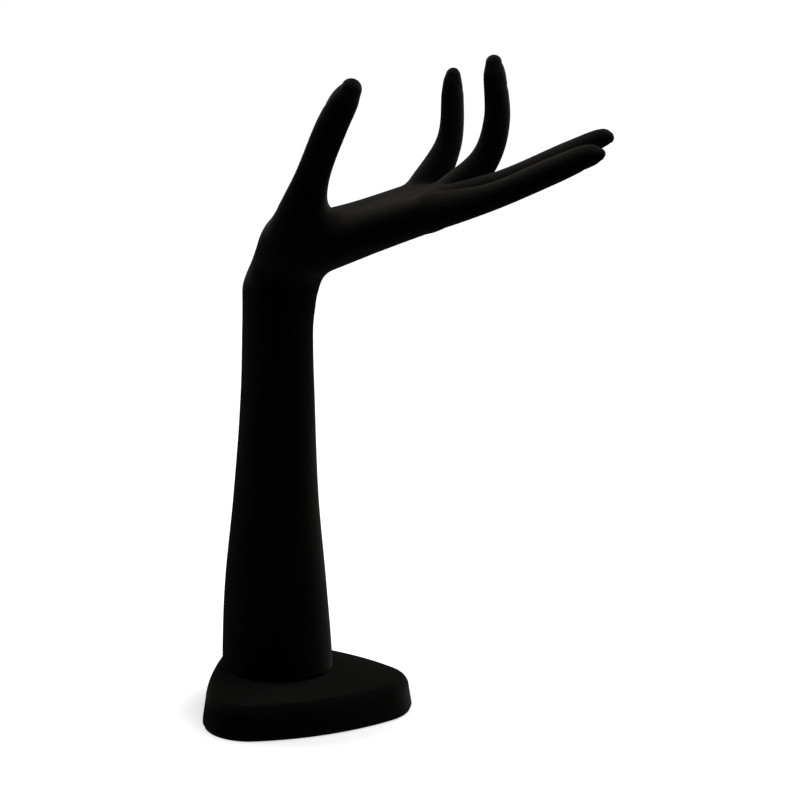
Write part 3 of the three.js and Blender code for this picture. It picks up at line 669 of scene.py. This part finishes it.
class Shading:
    """A node material and short ways to wire it."""

    def __init__(self, name):
        self.made = bpy.data.materials.new(name)
        self.made.use_nodes = True
        self.nodes = self.made.node_tree.nodes
        self.links = self.made.node_tree.links
        self.shader = self.nodes["Principled BSDF"]
        self.place = self.nodes.new("ShaderNodeTexCoord").outputs["Object"]

    def set(self, **values):
        """Constants on the shader's own sockets."""
        for name, value in values.items():
            self.shader.inputs[name.replace("_", " ")].default_value = value

    def feed(self, name, output):
        """One of the shader's sockets, driven by an output."""
        self.links.new(output, self.shader.inputs[name])

    def stretched(self, x, y, z):
        """Object coordinates scaled by an amount along each axis."""
        mapping = self.nodes.new("ShaderNodeMapping")
        mapping.inputs["Scale"].default_value = (x, y, z)
        self.links.new(self.place, mapping.inputs["Vector"])
        return mapping.outputs["Vector"]

    def noise(self, scale, detail, place=None):
        """Cloudy noise; the scale is in features to the metre."""
        made = self.nodes.new("ShaderNodeTexNoise")
        made.inputs["Scale"].default_value = scale
        made.inputs["Detail"].default_value = detail
        self.links.new(place or self.place, made.inputs["Vector"])
        return made.outputs["Fac"]

    def ramp(self, value, *stops):
        """A colour that runs through [position, colour] stops."""
        made = self.nodes.new("ShaderNodeValToRGB")
        for element, (at, colour) in zip(made.color_ramp.elements, stops):
            element.position = at
            element.color = (*colour, 1)
        self.links.new(value, made.inputs["Fac"])
        return made.outputs["Color"]

    def fading(self, centre, reach, values):
        """A value that changes smoothly with the level distance from a point."""
        away = self.nodes.new("ShaderNodeVectorMath")
        away.operation = "DISTANCE"
        away.inputs[1].default_value = (centre[0], centre[1], 0)
        self.links.new(self.place, away.inputs[0])
        made = self.nodes.new("ShaderNodeMapRange")
        made.interpolation_type = "SMOOTHSTEP"
        made.inputs["From Min"].default_value, made.inputs["From Max"].default_value = reach
        made.inputs["To Min"].default_value, made.inputs["To Max"].default_value = values
        self.links.new(away.outputs["Value"], made.inputs["Value"])
        return made.outputs["Result"]

    def scaled(self, value, low, high):
        """A value from 0 to 1, spread from low to high."""
        made = self.nodes.new("ShaderNodeMapRange")
        made.inputs["To Min"].default_value = low
        made.inputs["To Max"].default_value = high
        self.links.new(value, made.inputs["Value"])
        return made.outputs["Result"]

    def bump(self, height, strength, distance, under=None):
        """A normal bent by a height, over another bump if one is given."""
        made = self.nodes.new("ShaderNodeBump")
        made.inputs["Strength"].default_value = strength
        made.inputs["Distance"].default_value = distance
        self.links.new(height, made.inputs["Height"])
        if under is not None:
            self.links.new(under, made.inputs["Normal"])
        return made.outputs["Normal"]


def flock_material():
    """Short black pile: dead matt, a warm bloom at grazing angles, brushed here and there."""
    m = Shading("black_flock")
    nap = m.noise(scale=38, detail=4)
    shades = m.ramp(nap, (0.32, (0.0032, 0.0032, 0.0032)), (0.68, (0.0064, 0.006, 0.0056)))
    m.feed("Base Color", shades)
    m.feed("Roughness", m.scaled(nap, low=0.86, high=0.98))
    m.set(Specular_IOR_Level=0, Sheen_Weight=0.2, Sheen_Roughness=0.5, Sheen_Tint=(1, 0.95, 0.9, 1))
    brushed = m.bump(nap, strength=0.25, distance=0.002)
    pile = m.noise(scale=2600, detail=2)
    m.feed("Normal", m.bump(pile, strength=0.5, distance=0.00025, under=brushed))
    return m.made


def felt_material():
    """Pressed black felt: tangled fibres, a little dust-grey."""
    m = Shading("black_felt")
    fibres = m.noise(scale=900, detail=5, place=m.stretched(1, 0.35, 1))
    shades = m.ramp(fibres, (0.3, (0.005, 0.005, 0.0055)), (0.7, (0.012, 0.012, 0.013)))
    m.feed("Base Color", shades)
    m.set(Roughness=0.97, Specular_IOR_Level=0.1, Sheen_Weight=0.05, Sheen_Roughness=0.5)
    m.feed("Normal", m.bump(fibres, strength=0.6, distance=0.0004))
    return m.made


def steel_material(name, base, streaks, roughness):
    """Bare or plated steel with faint drawing lines."""
    m = Shading(name)
    lines = m.noise(scale=700, detail=2, place=m.stretched(*streaks))
    dark, light = (tuple(c * k for c in base) for k in (0.82, 1.1))
    m.feed("Base Color", m.ramp(lines, (0.3, dark), (0.7, light)))
    m.feed("Roughness", m.scaled(lines, low=roughness - 0.06, high=roughness + 0.1))
    m.set(Metallic=1.0)
    m.feed("Normal", m.bump(lines, strength=0.15, distance=0.0001))
    return m.made


def beech_material():
    """Turned beech: pale pinkish grain with short dark flecks."""
    m = Shading("beech")
    grain = m.noise(scale=60, detail=4, place=m.stretched(1, 1, 0.12))
    flecks = m.noise(scale=900, detail=1, place=m.stretched(1, 1, 0.08))
    m.feed("Base Color", m.ramp(grain, (0.3, (0.4, 0.24, 0.13)), (0.7, (0.56, 0.37, 0.22))))
    m.feed("Roughness", m.scaled(grain, low=0.55, high=0.75))
    m.feed("Normal", m.bump(flecks, strength=0.3, distance=0.0002))
    return m.made


def hardboard_material():
    """Brown pressed-fibre board."""
    m = Shading("hardboard")
    fibres = m.noise(scale=350, detail=5)
    m.feed("Base Color", m.ramp(fibres, (0.3, (0.11, 0.06, 0.03)), (0.7, (0.21, 0.125, 0.065))))
    m.feed("Roughness", m.scaled(fibres, low=0.7, high=0.9))
    m.feed("Normal", m.bump(fibres, strength=0.35, distance=0.0002))
    return m.made


BARE_STEEL = (0.42, 0.43, 0.44)
ZINC_PLATE = (0.62, 0.64, 0.66)
finishes = {
    "black_flock": flock_material(),
    "black_felt": felt_material(),
    "drawn_steel": steel_material("drawn_steel", BARE_STEEL, (0.05, 1, 1), 0.38),
    "zinc_plated_steel": steel_material("zinc_plated_steel", ZINC_PLATE, (1, 1, 0.06), 0.3),
    "beech": beech_material(),
    "hardboard": hardboard_material(),
}


def coat(piece, finish):
    """Gives a piece one of the finishes in place of what it had."""
    piece.data.materials.clear()
    piece.data.materials.append(finishes[finish])


slots = {row["node"]: row["material_slot"] for row in frame["record"]["subparts"]}
for name, node in frame["nodes"].items():
    coat(node, slots[name])
for piece, finish in new_pieces:
    coat(piece, finish)


# Stage, camera and light

FLOOR_HALF_WIDTH = 12000
FLOOR_GREY = 0.3  # what the object sees of the floor
FLOOR_WHITE = 0.9  # and what the camera sees of it by the lamps' light
FLOOR_GLOW = (0.68, 1)  # what it adds to that, by the plinth and far off
FLOOR_GLOW_REACH = (0.05, 0.08)  # from the plinth's middle
PLINTH_MIDDLE = (0.015, -0.0105)
WHITE = (1, 1, 1, 1)


def seen_directly(nodes, links):
    """1 for rays from the camera, a mirror-like surface or glass, else 0."""
    path = nodes.new("ShaderNodeLightPath")
    seen = path.outputs["Is Camera Ray"]
    for name in ("Is Glossy Ray", "Is Transmission Ray"):
        either = nodes.new("ShaderNodeMath")
        either.operation = "MAXIMUM"
        links.new(seen, either.inputs[0])
        links.new(path.outputs[name], either.inputs[1])
        seen = either.outputs[0]
    return seen


def floor_material():
    """Pale floor: white to the camera but for the object's shadow."""
    m = Shading("white_floor")
    m.set(Base_Color=(FLOOR_GREY, FLOOR_GREY, FLOOR_GREY, 1), Roughness=0.9, Specular_IOR_Level=0)
    lit = m.nodes.new("ShaderNodeBsdfDiffuse")
    lit.inputs["Color"].default_value = (FLOOR_WHITE, FLOOR_WHITE, FLOOR_WHITE, 1)
    glow = m.nodes.new("ShaderNodeEmission")
    glow.inputs["Color"].default_value = WHITE
    m.links.new(m.fading(PLINTH_MIDDLE, FLOOR_GLOW_REACH, FLOOR_GLOW), glow.inputs["Strength"])
    white = m.nodes.new("ShaderNodeAddShader")
    m.links.new(lit.outputs["BSDF"], white.inputs[0])
    m.links.new(glow.outputs["Emission"], white.inputs[1])
    choice = m.nodes.new("ShaderNodeMixShader")
    m.links.new(seen_directly(m.nodes, m.links), choice.inputs["Fac"])
    m.links.new(m.shader.outputs["BSDF"], choice.inputs[1])
    m.links.new(white.outputs["Shader"], choice.inputs[2])
    m.links.new(choice.outputs["Shader"], m.nodes["Material Output"].inputs["Surface"])
    return m.made


floor_corners = [(x, y, 0) for x, y in ((-1, -1), (1, -1), (1, 1), (-1, 1))]
floor = mesh_object("floor", np.array(floor_corners) * FLOOR_HALF_WIDTH, [(0, 1, 2, 3)])
floor.data.materials.append(floor_material())


def studio_world(strength):
    """Even light all round, white to the camera."""
    world = bpy.data.worlds.new("studio")
    world.use_nodes = True
    nodes, links = world.node_tree.nodes, world.node_tree.links
    around = nodes["Background"]
    around.inputs["Color"].default_value = WHITE
    around.inputs["Strength"].default_value = strength
    behind = nodes.new("ShaderNodeBackground")
    behind.inputs["Color"].default_value = WHITE
    behind.inputs["Strength"].default_value = 1
    choice = nodes.new("ShaderNodeMixShader")
    links.new(seen_directly(nodes, links), choice.inputs["Fac"])
    links.new(around.outputs["Background"], choice.inputs[1])
    links.new(behind.outputs["Background"], choice.inputs[2])
    links.new(choice.outputs["Shader"], nodes["World Output"].inputs["Surface"])
    return world


bpy.context.scene.world = studio_world(strength=0.02)


def softbox(name, place, width, power):
    """A square soft light aimed at the middle of the object."""
    light = bpy.data.lights.new(name, "AREA")
    light.shape = "SQUARE"
    light.size = width
    light.energy = power
    lamp = bpy.data.objects.new(name, light)
    lamp.location = place
    lamp.rotation_euler = (VIEW_TARGET - Vector(place)).to_track_quat("-Z", "Y").to_euler()
    bpy.context.scene.collection.objects.link(lamp)


softbox("overhead", place=(0.25, 0.1, 0.95), width=0.45, power=4)
softbox("right_rim", place=(0.95, 0.75, 1.35), width=0.9, power=0.75)
softbox("left_rim", place=(-1.3, 0.35, 0.35), width=0.6, power=1)

camera = bpy.data.cameras.new("camera")
camera.lens = VIEW_LENS
camera.sensor_width = SENSOR_WIDTH
viewer = bpy.data.objects.new("camera", camera)
azimuth, elevation = math.radians(VIEW_AZIMUTH), math.radians(VIEW_ELEVATION)
level = math.cos(elevation)
back = Vector((math.sin(azimuth) * level, -math.cos(azimuth) * level, math.sin(elevation)))
viewer.location = VIEW_TARGET + VIEW_DISTANCE * back
viewer.rotation_euler = (-back).to_track_quat("-Z", "Y").to_euler()
bpy.context.scene.collection.objects.link(viewer)
bpy.context.scene.camera = viewer
bpy.context.scene.view_settings.view_transform = "Standard"
